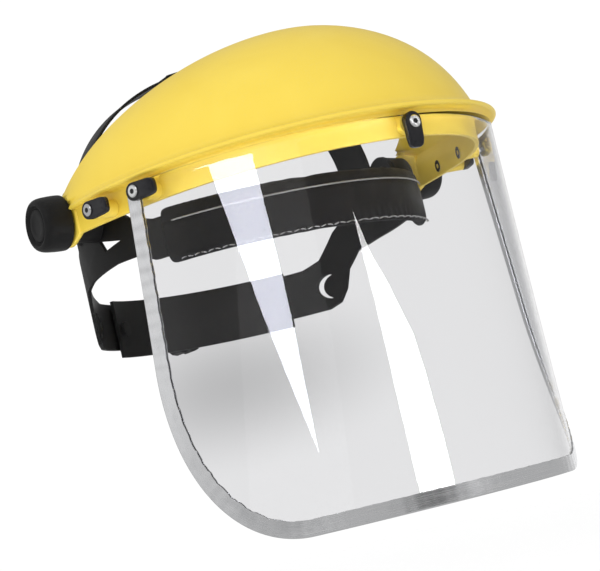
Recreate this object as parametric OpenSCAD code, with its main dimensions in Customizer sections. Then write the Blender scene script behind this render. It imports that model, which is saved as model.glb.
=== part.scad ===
// Browguard face shield: a yellow crown with a clear wrap-round visor, hinged on a ratchet headband.
// The origin is the middle of the pivot axis. +X is the wearer's left, -Y is forward, +Z is up.

/* [Visor] */
// Width of the clear sheet, measured round its curve
visor_width = 305; // [290:1:320]
// Height of the clear sheet from its hidden top edge
visor_height = 192; // [170:1:230]
// Thickness of the clear sheet
visor_thickness = 1; // [0.8:0.1:1.2]
// Width of each rounded lower corner, along the edge
visor_corner = 66; // [50:1:85]
// Height of each rounded lower corner
corner_height = 93; // [50:1:110]
// How far the metal edging reaches in from the sheet's edge
binding_width = 7.4; // [5:0.2:9]

/* [Browguard] */
// Half the width of the vertical band at its widest
band_half_width = 107.3; // [104:0.1:110]
// How far the band reaches ahead of the pivot axis
band_reach = 157.3; // [150:0.1:165]
// Thickness of the moulded wall
wall = 2.5; // [2:0.1:3]
// How far the lip stands out over the band
lip_overhang = 12.4; // [10:0.1:14]
// Height of the crown's rear edge above the pivot axis
crown_height = 71; // [60:1:80]
// How far the crown's rear edge stays ahead of the pivot axis
crown_opening = 81.5; // [70:0.5:95]

/* [Headband] */
// Radius of the headband's inner face
band_r = 94; // [92:0.5:95]
// Thickness of the moulded straps
strap_t = 2; // [1.6:0.1:2]
// Height of the crown strap above its roots
crown_rise = 72; // [65:0.5:80]
// Radius of the ratchet knob at the nape
ratchet_r = 17.6; // [17:0.2:20]

/* [Pivots] */
// Radius of the side knobs
knob_r = 14.8; // [13:0.1:15]
// Depth of the side knobs along the pivot axis
knob_depth = 16; // [12:0.5:18]
// Radius of the pivot bolts
bolt_r = 4; // [3.5:0.1:4]

/* [Hidden] */
$fn = 64;
fit = 0.08;
gap = 0.1;
shade_black = "#1f2022";
shade_yellow = "#f2d23f";
shade_metal = "#c9ccd2";

// A flat loop is [half width, reach from its centre, centre y, roundness].
band_bottom = -9.4;
band_centre = -9.8;
band_loop = [band_half_width, band_reach + band_centre, band_centre, 2.08];
lug_flare = 5.1;
guide_top_z = 6.6;
guide_top = [band_half_width + 8.5, band_reach - 11.8, -16.8, 2.08];
guide_bottom = [band_half_width + 34.1, band_reach + 6.2, 13.1, 2];
visor_top_v = 0.031;
visor_half = visor_width / 2;
corner_start = visor_half - visor_corner;

// Crown: the dome springs from the band and ends at an arched rear edge.
dome_base = [2.5, 9];
dome_foot = [109.2, 2.7, 14];
dome_steps = 8;

// Turn buttons: angle round the band from the front, distance from the band to the visor.
post_z = -4.2;
rear_post = 77.2;
front_post = 64;
side_stand_off = 7.9;
centre_stand_off = 3.5;
side_room = 3.9;
centre_room = 1.8;
rivet_r = 2.2;
button_t = 4.4;
button_head = 4.6;
button_back = 5.4;
button_reach = 12.4;

// Pivot stack, as distances from the middle plane.
hub_end = 108.3;
lug_in = 109.4;
lug_out = 112.4;
lug_r = 13.6;
hub_room = 14.2;
knob_room = 0.8;
knob_in = lug_out + 0.9;
knob_out = knob_in + knob_depth;
insert_length = 8;
cap_r = 9.4;
cap_t = 1.2;

// Head loop: every strap lies on cylinders about one upright axis.
loop_y = 4;
strap_out = band_r + strap_t;
nape_low = -68.5;
nape_high = -35.5;
nape_end = 140;
strap_end = 148;
tail_in = band_r - 1.5;
tail_t = 1.2;
tail_middle = tail_in + tail_t / 2;
ratchet_z = -52;
pitch_r = 6;
pinion_teeth = 10;
tooth_pitch = 2 * PI * pitch_r / pinion_teeth;
tooth_angle = tooth_pitch / tail_middle * 180 / PI;
cover_in = strap_out - 1.7;
cover_out = strap_out + 0.3;
cover_low = nape_low + 2;
cover_high = nape_high - 2;
cover_rail = 1.5;
knob_back = loop_y + strap_out + 3.2;
nape_stud_angle = 144;
nape_stud_r = 2.4;
cut_from = 85;
cut_length = 20;
crown_front = 8;
crown_back = 33;
crown_root = 5;
crown_t = 1.4;
crown_over = 17;
crown_stud_angle = 102;
crown_stud_z = -5;
crown_stud_r = 2.6;
peg_places = [-9, 9];
peg_r = 2.4;

// ---- curves ----

function signed_pow(v, e) = sign(v) * pow(abs(v), e);

// A point of a flat loop, at an angle from the front, offset outwards.
function loop_point(loop, angle, offset = 0) = [
  (loop[0] + offset) * signed_pow(sin(angle), 2 / loop[3]),
  loop[2] - (loop[1] + offset) * signed_pow(cos(angle), 2 / loop[3])
];

// The band's loop opens a little towards the pivot lugs.
function band_flare(angle) = lug_flare * pow(max(0, (abs(angle) - 68) / 22), 2);
function band_point(angle, offset = 0) =
  loop_point(band_loop, angle, offset) + [sign(angle) * band_flare(angle), 0];
function band_turn(angle) =
  let (t = band_point(angle + 0.5) - band_point(angle - 0.5)) atan2(-t[0], t[1]);

// Pairs of arc length and angle, so that a loop can be followed by length.
function length_table(loop) = [
  for (a = 0, l = 0; a <= 90; l = l + norm(loop_point(loop, a + 2.5) - loop_point(loop, a)), a = a + 2.5)
    [l, a]
];
top_table = length_table(guide_top);
bottom_table = length_table(guide_bottom);
function along(loop, table, s, offset) = loop_point(loop, sign(s) * lookup(abs(s), table), offset);

// The visor is ruled between two guide loops: s runs round it, v runs down it.
function visor_point(s, v, offset = 0) =
  let (
    a = along(guide_top, top_table, s, offset),
    b = along(guide_bottom, bottom_table, s, offset),
    drop = sqrt(pow(visor_height, 2) - pow(norm(b - a), 2))
  )
  [a[0] + (b[0] - a[0]) * v, a[1] + (b[1] - a[1]) * v, guide_top_z - drop * v];

// The lower edge of the visor, with its rounded corners.
function corner_lift(past) = corner_height * (1 - sqrt(max(0, 1 - pow(past / visor_corner, 2))));
function visor_low_v(s) = 1 - corner_lift(max(0, abs(s) - corner_start)) / visor_height;

// Places round the visor: close together in the corners, where the edge turns.
corner_steps = 12;
middle_steps = 16;
visor_places = [
  for (i = [-corner_steps:-1]) -corner_start - visor_corner * sin(-i * 90 / corner_steps),
  for (i = [0:middle_steps]) -corner_start + 2 * corner_start * i / middle_steps,
  for (i = [1:corner_steps]) corner_start + visor_corner * sin(i * 90 / corner_steps)
];

// ---- solids from grids of points ----

// A closed tube through equal rings of points, capped at both ends.
module ring_solid(rings) {
  n = len(rings[0]);
  m = len(rings);
  points = [for (r = rings) for (p = r) p];
  sides = [
    for (i = [0:m - 2]) for (j = [0:n - 1])
      let (a = i * n + j, b = i * n + (j + 1) % n)
        each [[a, b, b + n], [a, b + n, a + n]]
  ];
  first_cap = [for (j = [n - 1:-1:0]) j];
  last_cap = [for (j = [0:n - 1]) (m - 1) * n + j];
  polyhedron(points = points, faces = concat(sides, [first_cap, last_cap]), convexity = 10);
}

// A thin wall between an inner and an outer grid of the same size.
module wall_solid(outer, inner) {
  m = len(outer);
  n = len(outer[0]);
  rings = [for (i = [0:m - 1]) concat(outer[i], [for (j = [n - 1:-1:0]) inner[i][j]])];
  points = [for (r = rings) for (p = r) p];
  k = 2 * n;
  sides = [
    for (i = [0:m - 2]) for (j = [0:k - 1])
      let (a = i * k + j, b = i * k + (j + 1) % k)
        each [[a, b, b + k], [a, b + k, a + k]]
  ];
  caps = [
    for (j = [0:n - 2]) each [
      [j + 1, j, k - 1 - j], [j + 1, k - 1 - j, k - 2 - j],
      [(m - 1) * k + j, (m - 1) * k + j + 1, (m - 1) * k + k - 1 - j],
      [(m - 1) * k + j + 1, (m - 1) * k + k - 2 - j, (m - 1) * k + k - 1 - j]
    ]
  ];
  polyhedron(points = points, faces = concat(sides, caps), convexity = 10);
}

// ---- placing ----

// Children stand on the band's outer face: +Z outwards, +X down.
module at_post(angle) {
  p = band_point(angle);
  translate([p[0], p[1], post_z]) rotate([0, 0, band_turn(angle)]) rotate([0, 90, 0]) children();
}

// Children along the pivot axis: +Z outwards from the middle plane. side is -1 on the right.
module on_pivot(side, distance) {
  translate([side * distance, 0, 0]) rotate([0, side * 90, 0]) children();
}

// An upright wall on a cylinder about the head loop's axis; angles are from the front.
module arc_wall(r1, r2, z1, z2, from, to) {
  translate([0, loop_y, 0]) rotate([0, 0, from - 90]) rotate_extrude(angle = to - from, $fn = 128)
    translate([r1, z1]) square([r2 - r1, z2 - z1]);
}

// Children stand on the head loop: +Z outwards from its axis.
module on_loop(angle, r, z) {
  translate([0, loop_y, z]) rotate([0, 0, angle]) translate([0, -r, 0]) rotate([90, 0, 0]) children();
}

module washer(outer_r, inner_r, t) {
  difference() {
    cylinder(r = outer_r, h = t);
    translate([0, 0, -1]) cylinder(r = inner_r, h = t + 2);
  }
}

// ---- browguard ----

// Walls of the moulding at an angle round it: band, lip and dome outside, band and dome inside.
function lip_scale(angle) = 1 - 0.78 * pow(abs(angle) / 90, 8);
function dome_edge(angle, inset) = [
  (dome_foot[0] - inset) * signed_pow(sin(angle), 1.114),
  dome_foot[1] - (dome_foot[1] + crown_opening) * pow(cos(angle), 1.032),
  dome_foot[2] + (crown_height - dome_foot[2]) * pow(cos(angle), 1.114) - inset * cos(angle)
];
function dome_curve(angle, offset, inset) =
  let (
    b = band_point(angle, offset),
    base = [b[0], b[1], dome_base[1]],
    edge = dome_edge(angle, inset),
    mid = [base[0] + 0.28 * (edge[0] - base[0]), base[1] + 0.28 * (edge[1] - base[1]),
           base[2] + 0.872 * (edge[2] - base[2])]
  )
  [for (i = [0:dome_steps]) let (u = i / dome_steps)
    pow(1 - u, 2) * base + 2 * u * (1 - u) * mid + u * u * edge];
function shell_outside(angle) =
  let (
    reach = lip_overhang * lip_scale(angle),
    lip = [[0, band_bottom], [0, 2.6], [1.2, 3.8], [reach - 1.6, 3], [reach, 3.8],
           [reach - 0.6, 5.2], [reach * 0.5, 6.6]]
  )
  concat(
    [for (q = lip) let (p = band_point(angle, q[0])) [p[0], p[1], q[1]]],
    dome_curve(angle, dome_base[0], 0)
  );
function shell_inside(angle) =
  concat(
    [for (z = [band_bottom, -6.5, -4, -1.5, 1, 3.5, 6]) let (p = band_point(angle, -wall)) [p[0], p[1], z]],
    dome_curve(angle, dome_base[0] - wall, wall)
  );

shell_places = [for (a = [-90:3.75:90]) a];
module browguard() {
  color(shade_yellow) difference() {
    union() {
      wall_solid([for (a = shell_places) shell_outside(a)], [for (a = shell_places) shell_inside(a)]);
      for (side = [-1, 1]) hull() {
        on_pivot(side, lug_in) cylinder(r = lug_r, h = lug_out - lug_in, $fn = 48);
        translate([side * (lug_in + lug_out) / 2, -14, (band_bottom + dome_base[1]) / 2])
          cube([lug_out - lug_in - 0.6, 2, dome_base[1] - band_bottom], center = true);
      }
    }
    for (side = [-1, 1]) {
      on_pivot(side, lug_in - 1) cylinder(r = bolt_r + fit, h = 5);
      on_pivot(side, hub_end - 13) cylinder(r = hub_room, h = lug_in - hub_end + 13);
      on_pivot(side, lug_out) cylinder(r = knob_r + knob_room, h = 12);
    }
    for (a = [-rear_post, -front_post, 0, front_post, rear_post])
      at_post(a) translate([0, 0, -wall - 2]) cylinder(r = rivet_r + gap, h = wall + 4);
  }
}

// ---- visor and its edging ----

module visor() {
  rows = 6;
  function grid(offset) = [
    for (s = visor_places) [
      for (j = [0:rows]) visor_point(s, visor_top_v + (visor_low_v(s) - visor_top_v) * j / rows, offset)]
  ];
  color("#dfe6ea", 0.4) difference() {
    wall_solid(grid(visor_thickness / 2), grid(-visor_thickness / 2));
    rivet_holes();
  }
}

module rivet_holes() {
  for (a = [-front_post, 0, front_post])
    at_post(a) translate([0, 0, 1]) cylinder(r = rivet_r + 0.4, h = 14);
}

side_steps = 7;
edge_path = [
  for (i = [0:side_steps - 1])
    [-visor_half, visor_top_v + 0.006 + (visor_low_v(visor_half) - visor_top_v) * i / side_steps],
  for (s = visor_places) [s, visor_low_v(s)],
  for (i = [side_steps - 1:-1:0])
    [visor_half, visor_top_v + 0.006 + (visor_low_v(visor_half) - visor_top_v) * i / side_steps]
];

function unit(v) = v / norm(v);
function edge_frame(i) =
  let (
    last = len(edge_path) - 1,
    q = edge_path[i],
    before = edge_path[max(0, i - 1)],
    after = edge_path[min(last, i + 1)],
    p = visor_point(q[0], q[1]),
    run = unit(visor_point(after[0], after[1]) - visor_point(before[0], before[1])),
    face = unit(visor_point(q[0], q[1], 1) - p),
    level = unit(face - run * (face * run))
  )
  [p, cross(run, level), level];

module visor_binding() {
  skin = 0.55;
  room = visor_thickness / 2 + gap;
  section = [[-binding_width, -room - skin], [0.8, -room - skin], [0.8, room + skin],
             [-binding_width, room + skin], [-binding_width, room], [gap, room], [gap, -room],
             [-binding_width, -room]];
  color(shade_metal) difference() {
    ring_solid([
      for (i = [0:len(edge_path) - 1])
        let (f = edge_frame(i)) [for (q = section) f[0] + f[1] * q[0] + f[2] * q[1]]
    ]);
    rivet_holes();
  }
}

// ---- studs, rivets and turn buttons ----

stud_r = 4.6;
module stud(angle, length) {
  color(shade_yellow) at_post(angle) translate([0, 0, gap]) washer(stud_r, rivet_r + gap, length - gap);
}

module visor_studs() {
  for (side = [-1, 1]) {
    stud(side * rear_post, side_stand_off + side_room - gap);
    stud(side * front_post, side_stand_off);
  }
  stud(0, centre_stand_off);
}

// A tubular rivet from the band's inner face to the button's outer face.
module rivet(angle, button_at) {
  inner = -wall - gap;
  outer = button_at + button_t + gap;
  color(shade_metal) at_post(angle) rotate_extrude() polygon([
    [1.3, inner - 0.8], [3.4, inner - 0.8], [3.4, inner], [rivet_r, inner], [rivet_r, outer],
    [3.1, outer], [3.1, outer + 0.4], [2.6, outer + 0.8], [1.3, outer + 0.8]
  ]);
}

module button_rivets() {
  for (a = [-rear_post, -front_post, front_post, rear_post]) rivet(a, side_stand_off + side_room);
  rivet(0, centre_stand_off + centre_room);
}

// A lever with a round head; point turns it from pointing down.
module turn_button(angle, button_at, point) {
  color(shade_black) at_post(angle) translate([0, 0, button_at]) rotate([0, 0, point])
    difference() {
      union() {
        translate([button_head - button_back, 0]) cylinder(r = button_head, h = button_t);
        linear_extrude(height = button_t) polygon([
          [button_head - button_back, -button_head], [button_reach - 3, -button_head + 0.3],
          [button_reach - 0.8, -button_head + 0.8], [button_reach, -2.4], [button_reach, 2.4],
          [button_reach - 0.8, button_head - 0.8], [button_reach - 3, button_head - 0.3],
          [button_head - button_back, button_head]
        ]);
      }
      translate([0, 0, -1]) cylinder(r = rivet_r + fit, h = button_t + 2);
      translate([5, -10, button_t]) rotate([0, 14, 0]) cube([20, 20, 8]);
    }
}

module centre_button() { turn_button(0, centre_stand_off + centre_room, 0); }
module right_front_button() { turn_button(-front_post, side_stand_off + side_room, 90); }
module left_front_button() { turn_button(front_post, side_stand_off + side_room, -90); }
module right_rear_button() { turn_button(-rear_post, side_stand_off + side_room, 90); }
module left_rear_button() { turn_button(rear_post, side_stand_off + side_room, -90); }

// ---- headband ----

// Side view of the strap, forwards to the left, as [y, z]: forehead strip, pivot plate, rear strap.
strip_low = -33;
strip_high = -12;
strap_outline = [
  [-95, strip_high], [-42, strip_high], [-28, -7], [-14, 4], [0, 6], [14, 4], [27, -8], [40, -13],
  [48, -19], [59, -33], [68, -36.5], [86, -37], [86, -63.5], [60, -63.5], [53, -61], [48, -54],
  [44, -43], [35, -34], [18, -31], [-12, -28], [-30, -28], [-40, strip_low], [-95, strip_low]
];
strap_window = [[-1.5, -13.2], [-20, -17], [-5.2, -19.6]];
plate_r = 13.5;
crescent = [56.5, -50];

module side_view(width) {
  rotate([90, 0, 90]) translate([0, 0, -width]) linear_extrude(height = 2 * width) children();
}

module headband() {
  color(shade_black) difference() {
    intersection() {
      arc_wall(band_r, strap_out, -70, 30, -strap_end, strap_end);
      side_view(120) union() {
        polygon(strap_outline);
        circle(r = plate_r);
        translate([crown_front - 2, -16]) square([crown_back - crown_front + 4, 20]);
      }
    }
    side_view(120) polygon(strap_window);
    side_view(120) difference() {
      translate(crescent) circle(r = 7.2);
      translate(crescent + [-4.4, -0.6]) circle(r = 7.4);
    }
    for (side = [-1, 1]) {
      on_pivot(side, 80) cylinder(r = 8 + gap, h = 30);
      on_loop(side * nape_stud_angle, cut_from, ratchet_z) cylinder(r = nape_stud_r + gap, h = cut_length);
      on_loop(side * crown_stud_angle, cut_from, crown_stud_z)
        cylinder(r = crown_stud_r + gap, h = cut_length);
    }
  }
}

module forehead_pad() {
  color(shade_black) difference() {
    arc_wall(86.5, 98, -39.5, -6, -60, 60);
    arc_wall(band_r - 0.3, strap_out + 0.3, strip_low - 0.3, strip_high + 0.3, -62, 62);
  }
}

// ---- nape and ratchet ----

module nape_band() {
  color(shade_black) difference() {
    arc_wall(band_r - 3.8, band_r - 1.8, nape_low, nape_high, nape_end, 360 - nape_end);
    for (side = [-1, 1]) on_loop(side * nape_stud_angle, cut_from, ratchet_z)
      cylinder(r = nape_stud_r + gap, h = cut_length);
  }
}

module nape_studs() {
  color(shade_black) for (side = [-1, 1]) on_loop(side * nape_stud_angle, 0, ratchet_z) {
    translate([0, 0, band_r - 5]) cylinder(r = nape_stud_r, h = strap_t + 4.7);
    translate([0, 0, strap_out + 0.3]) cylinder(r1 = 4.6, r2 = 3.8, h = 1.4);
    translate([0, 0, band_r - 6.2]) cylinder(r = 4.2, h = 1.6);
  }
}

module cover_wall(r1, r2, z1, z2) {
  arc_wall(r1, r2, z1, z2, strap_end + 0.8, 359.2 - strap_end);
}

module nape_cover() {
  boss_in = cover_in + 0.6;
  color(shade_black) difference() {
    union() {
      cover_wall(cover_in, cover_out, cover_low, cover_high);
      cover_wall(band_r - 1.7, cover_in + 0.5, cover_low, cover_low + cover_rail);
      cover_wall(band_r - 1.7, cover_in + 0.5, cover_high - cover_rail, cover_high);
      on_loop(180, boss_in, ratchet_z) cylinder(r = ratchet_r - 1.6, h = knob_back - 0.8 - loop_y - boss_in);
    }
    on_loop(180, 80, ratchet_z) cylinder(r = 3 + fit, h = 40);
  }
}

// A toothed tail; up is 1 for the upper tail and -1 for the lower one.
module tail(up, from, to) {
  edge = ratchet_z + up * (pitch_r + 1.1);
  back = ratchet_z + up * (pitch_r + 6.5);
  arc_wall(tail_in, tail_in + tail_t, min(edge, back), max(edge, back), from, to);
  for (i = [-12:12])
    let (a = 180 + i * tooth_angle)
      if (a > from + 1 && a < to - 1)
        on_loop(a, tail_in + 0.1, edge) linear_extrude(height = tail_t - 0.2) polygon([
          [-1.1, up * 0.3], [1.1, up * 0.3], [0.45, -up * 1.9], [-0.45, -up * 1.9]
        ]);
}

module right_tail() { color(shade_black) tail(1, 168, 209.5); }
module left_tail() { color(shade_black) tail(-1, 150.5, 192); }

module ratchet_pinion() {
  shaft = knob_back + 3 - loop_y - tail_in;
  color(shade_metal) on_loop(180, tail_in, ratchet_z) {
    cylinder(r = pitch_r - 1.2, h = tail_t + 0.2);
    difference() {
      cylinder(r = 3, h = shaft);
      translate([0, 0, shaft - 6]) cylinder(r = 1.6, h = 7);
    }
    for (i = [0:pinion_teeth - 1]) rotate([0, 0, (i + 0.5) * 360 / pinion_teeth])
      linear_extrude(height = tail_t + 0.2) polygon([
        [-1, pitch_r - 1.6], [-0.4, pitch_r + 0.8], [0.4, pitch_r + 0.8], [1, pitch_r - 1.6]
      ]);
  }
}

ring_r = 13.5;
ring_teeth = 30;
module ratchet_ring() {
  color(shade_black) on_loop(180, knob_back - 0.7 - loop_y, ratchet_z) linear_extrude(height = 2.4)
    difference() {
      circle(r = ring_r);
      polygon([for (i = [0:ring_teeth - 1]) for (q = [[ring_r - 2.6, 0], [ring_r - 1.4, 1]])
        q[0] * [cos((i + q[1] * 0.5) * 360 / ring_teeth), sin((i + q[1] * 0.5) * 360 / ring_teeth)]]);
    }
}

module click_spring() {
  color(shade_metal) on_loop(180, knob_back - 0.6 - loop_y, ratchet_z) linear_extrude(height = 2.2)
    difference() {
      union() {
        circle(r = 5.5);
        for (turn = [0, 180]) rotate(turn) {
          translate([0, 4]) square([8.6, 1.2]);
          translate([8.6, 4]) circle(r = 1.2);
        }
      }
      circle(r = 3 + gap);
    }
}

module ratchet_knob() {
  depth = 13;
  color(shade_black) on_loop(180, knob_back - loop_y, ratchet_z) difference() {
    union() {
      cylinder(r = ratchet_r, h = depth - 2);
      translate([0, 0, depth - 2]) cylinder(r1 = ratchet_r, r2 = ratchet_r - 2, h = 2);
    }
    for (i = [0:11]) rotate([0, 0, i * 30]) translate([ratchet_r + 2.2, 0, -1]) cylinder(r = 3.6, h = 20);
    translate([0, 0, -1]) cylinder(r = ring_r + 0.6, h = 3.8);
    translate([0, 0, -1]) cylinder(r = 3 + gap, h = 5);
    translate([0, 0, -1]) cylinder(r = 1.6, h = 20);
    translate([0, 0, depth - 2]) cylinder(r = 5, h = 3);
  }
}

module ratchet_screw() {
  color(shade_metal) on_loop(180, knob_back - loop_y, ratchet_z) difference() {
    union() {
      translate([0, 0, -2.6]) cylinder(r = 1.5, h = 14);
      translate([0, 0, 11.1]) cylinder(r = 3.6, h = 1.5);
    }
    for (turn = [0, 90]) rotate([0, 0, turn]) translate([-2.2, -0.4, 11.8]) cube([4.4, 0.8, 2]);
  }
}

// ---- crown strap ----

// The strap's wall at an arch angle and a place across it; its roots follow the head loop.
function crown_point(side, angle, y, layer, lift) =
  let (
    half = sqrt(pow(band_r - 1 + layer, 2) - pow(y - loop_y, 2)),
    up = crown_rise + layer + lift
  )
  angle < 0
    ? [side * half, y, crown_root + angle * 0.25]
    : [side * half * cos(angle), y, crown_root + up * sin(angle)];

module crown_strap(side, lift) {
  arch = [-68, -30, 0, for (a = [6:6:84]) a, 90, 90 + crown_over * 0.5, 90 + crown_over];
  places = [for (i = [0:4]) crown_front + (crown_back - crown_front) * i / 4];
  color(shade_black) difference() {
    if (side > 0)
      wall_solid(
        [for (a = arch) [for (y = places) crown_point(side, a, y, crown_t / 2, lift)]],
        [for (a = arch) [for (y = places) crown_point(side, a, y, -crown_t / 2, lift)]]
      );
    else
      wall_solid(
        [for (a = arch) [for (y = places) crown_point(side, a, y, -crown_t / 2, lift)]],
        [for (a = arch) [for (y = places) crown_point(side, a, y, crown_t / 2, lift)]]
      );
    on_loop(side * crown_stud_angle, cut_from, crown_stud_z) cylinder(r = crown_stud_r + gap, h = cut_length);
    for (x = peg_places) translate([x, (crown_front + crown_back) / 2, crown_rise - 16])
      cylinder(r = peg_r + gap, h = 40);
  }
}

module right_crown_strap() { crown_strap(-1, 0); }
module left_crown_strap() { crown_strap(1, crown_t + 0.4); }

module crown_pegs() {
  under = crown_root + crown_rise - 2.4;
  color(shade_black) for (x = peg_places) translate([x, (crown_front + crown_back) / 2, under]) {
    translate([0, 0, -1.2]) cylinder(r = 4, h = 1.5);
    cylinder(r = peg_r, h = 6);
    translate([0, 0, 5.4]) cylinder(r1 = 4, r2 = 3, h = 1.5);
  }
}

module crown_studs() {
  color(shade_black) for (side = [-1, 1]) on_loop(side * crown_stud_angle, 0, crown_stud_z) {
    translate([0, 0, band_r - 3.8]) cylinder(r = 4.4, h = 1.8);
    translate([0, 0, band_r - 2.5]) cylinder(r = crown_stud_r, h = strap_t + 3);
    translate([0, 0, strap_out + 0.2]) cylinder(r1 = 4.8, r2 = 4, h = 1.4);
  }
}

// ---- pivots ----

module hub(side) {
  color(shade_black) on_pivot(side, 0) difference() {
    union() {
      translate([0, 0, band_r - 1]) cylinder(r = 8, h = 5);
      translate([0, 0, strap_out + 0.2]) cylinder(r1 = 13, r2 = 11.5, h = hub_end - strap_out - 0.2);
    }
    translate([0, 0, 80]) cylinder(r = bolt_r + gap, h = 40);
  }
}

module bolt(side) {
  color("#55585c") on_pivot(side, 0) {
    translate([0, 0, band_r - 3.4]) cylinder(r1 = 6.2, r2 = 7.4, h = 2.2);
    translate([0, 0, band_r - 2]) cylinder(r = bolt_r, h = knob_in + insert_length - band_r + 2);
  }
}

module spring_washer(side) {
  color(shade_metal) on_pivot(side, hub_end + gap) washer(10.5, bolt_r + gap, lug_in - hub_end - 2 * gap);
}

module flat_washer(side) {
  color(shade_metal) on_pivot(side, lug_out + gap) washer(9.5, bolt_r + gap, 0.6);
}

module knob(side) {
  color(shade_black) on_pivot(side, knob_in) difference() {
    rotate_extrude() polygon([
      [0, 0], [knob_r - 0.6, 0], [knob_r - 0.1, 0.8], [knob_r, knob_depth * 0.3], [knob_r, knob_depth * 0.55],
      [knob_r - 0.5, knob_depth * 0.8], [knob_r - 1.3, knob_depth - 1], [knob_r - 2.4, knob_depth - 0.1],
      [knob_r - 3.4, knob_depth], [knob_r - 4.2, knob_depth - 0.4], [cap_r + gap, knob_depth - 2.2],
      [0, knob_depth - 2.2]
    ]);
    translate([0, 0, -1]) cylinder(r = 6.6 + gap, h = insert_length + 1.8);
  }
}

module knob_nut(side) {
  color("#c8a24a") on_pivot(side, knob_in + 0.2) washer(6.6, bolt_r + fit, insert_length);
}

module knob_cap(side) {
  color(shade_black) on_pivot(side, knob_in + knob_depth - 2.1) cylinder(r = cap_r, h = cap_t);
}

module right_hub() { hub(-1); }
module left_hub() { hub(1); }
module right_bolt() { bolt(-1); }
module left_bolt() { bolt(1); }
module right_spring_washer() { spring_washer(-1); }
module left_spring_washer() { spring_washer(1); }
module right_flat_washer() { flat_washer(-1); }
module left_flat_washer() { flat_washer(1); }
module right_knob() { knob(-1); }
module left_knob() { knob(1); }
module right_knob_nut() { knob_nut(-1); }
module left_knob_nut() { knob_nut(1); }
module right_knob_cap() { knob_cap(-1); }
module left_knob_cap() { knob_cap(1); }

browguard();
visor();
visor_binding();
visor_studs();
button_rivets();
centre_button();
right_front_button();
left_front_button();
right_rear_button();
left_rear_button();
headband();
forehead_pad();
nape_band();
nape_studs();
nape_cover();
right_tail();
left_tail();
ratchet_pinion();
ratchet_ring();
click_spring();
ratchet_knob();
ratchet_screw();
right_crown_strap();
left_crown_strap();
crown_pegs();
crown_studs();
right_hub();
left_hub();
right_bolt();
left_bolt();
right_spring_washer();
left_spring_washer();
right_flat_washer();
left_flat_washer();
right_knob();
left_knob();
right_knob_nut();
left_knob_nut();
right_knob_cap();
left_knob_cap();
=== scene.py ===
import math

import bpy
import numpy as np
from mathutils import Matrix
from mathutils.geometry import convex_hull_2d


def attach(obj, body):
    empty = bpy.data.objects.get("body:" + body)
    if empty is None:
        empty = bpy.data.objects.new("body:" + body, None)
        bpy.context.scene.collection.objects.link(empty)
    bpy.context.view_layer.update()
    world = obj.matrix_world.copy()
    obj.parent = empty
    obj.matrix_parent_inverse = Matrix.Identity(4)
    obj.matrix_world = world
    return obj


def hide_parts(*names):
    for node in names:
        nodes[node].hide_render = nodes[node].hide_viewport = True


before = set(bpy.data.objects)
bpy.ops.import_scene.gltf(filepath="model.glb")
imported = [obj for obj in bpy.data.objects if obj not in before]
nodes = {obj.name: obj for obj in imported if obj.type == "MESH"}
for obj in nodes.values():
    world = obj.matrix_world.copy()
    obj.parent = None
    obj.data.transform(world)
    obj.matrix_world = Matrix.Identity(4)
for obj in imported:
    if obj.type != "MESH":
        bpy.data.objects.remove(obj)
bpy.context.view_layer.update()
mm = 0.001  # every shape below is worked out in millimetres and stored in metres
print("frame loaded:", len(nodes), "nodes")

# Camera: at the wearer's right front, a little below the brow, looking slightly up.
cameraView = {
    "place": (-0.526289, -0.858562, -0.158229),
    "right": (0.83335, -0.50401, -0.22694),
    "up": (0.13864, -0.20685, 0.96850),
    "back": (-0.53507, -0.83856, -0.10251),
    "lens": 109.5,
    "sensor": 36,
}


def placeCamera(view):
    data = bpy.data.cameras.new("studioCamera")
    data.lens, data.sensor_width, data.clip_start = view["lens"], view["sensor"], 0.01
    obj = bpy.data.objects.new("studioCamera", data)
    bpy.context.scene.collection.objects.link(obj)
    turn = Matrix((view["right"], view["up"], view["back"])).transposed().to_4x4()
    obj.matrix_world = Matrix.Translation(view["place"]) @ turn
    bpy.context.scene.camera = obj


placeCamera(cameraView)
bpy.context.scene.view_settings.view_transform = "Standard"

# Meshes from grids.


def gridFaces(rows, columns, closeColumns=False, flip=False):
    # Four-sided faces between neighbouring rows and columns, wrapping round where the columns are closed.
    i = np.arange(rows - 1)[:, None]
    j = np.arange(columns if closeColumns else columns - 1)[None, :]
    nextI, nextJ = i + 1, (j + 1) % columns
    corners = (i * columns + j, i * columns + nextJ, nextI * columns + nextJ, nextI * columns + j)
    quads = np.stack(np.broadcast_arrays(*corners), -1).reshape(-1, 4)
    return quads[:, ::-1] if flip else quads


def tubeCaps(rings, sides):
    # The first and last ring of a tube as two end faces.
    last = rings * sides - 1
    return [list(range(sides)), list(range(last, last - sides, -1))]


def fanFaces(rings, sides):
    # Triangles from the first and last ring to two points stored after all the rings.
    j, count = np.arange(sides), rings * sides
    nextJ = (j + 1) % sides
    low = np.stack([np.full(sides, count), nextJ, j], -1)
    high = np.stack([np.full(sides, count + 1), count - sides + j, count - sides + nextJ], -1)
    return low, high


def joinParts(*parts):
    # Several (points, faces) pairs as one: each part's faces are counted on from the points before it.
    points, faces, count = [], [], 0
    for partPoints, partFaces in parts:
        flat = np.asarray(partPoints, float).reshape(-1, 3)
        points.append(flat)
        faces += [[k + count for k in face] for face in partFaces]
        count += len(flat)
    return np.concatenate(points), faces


def addObject(name, data):
    obj = bpy.data.objects.new(name, data)
    bpy.context.scene.collection.objects.link(obj)
    return obj


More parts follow.
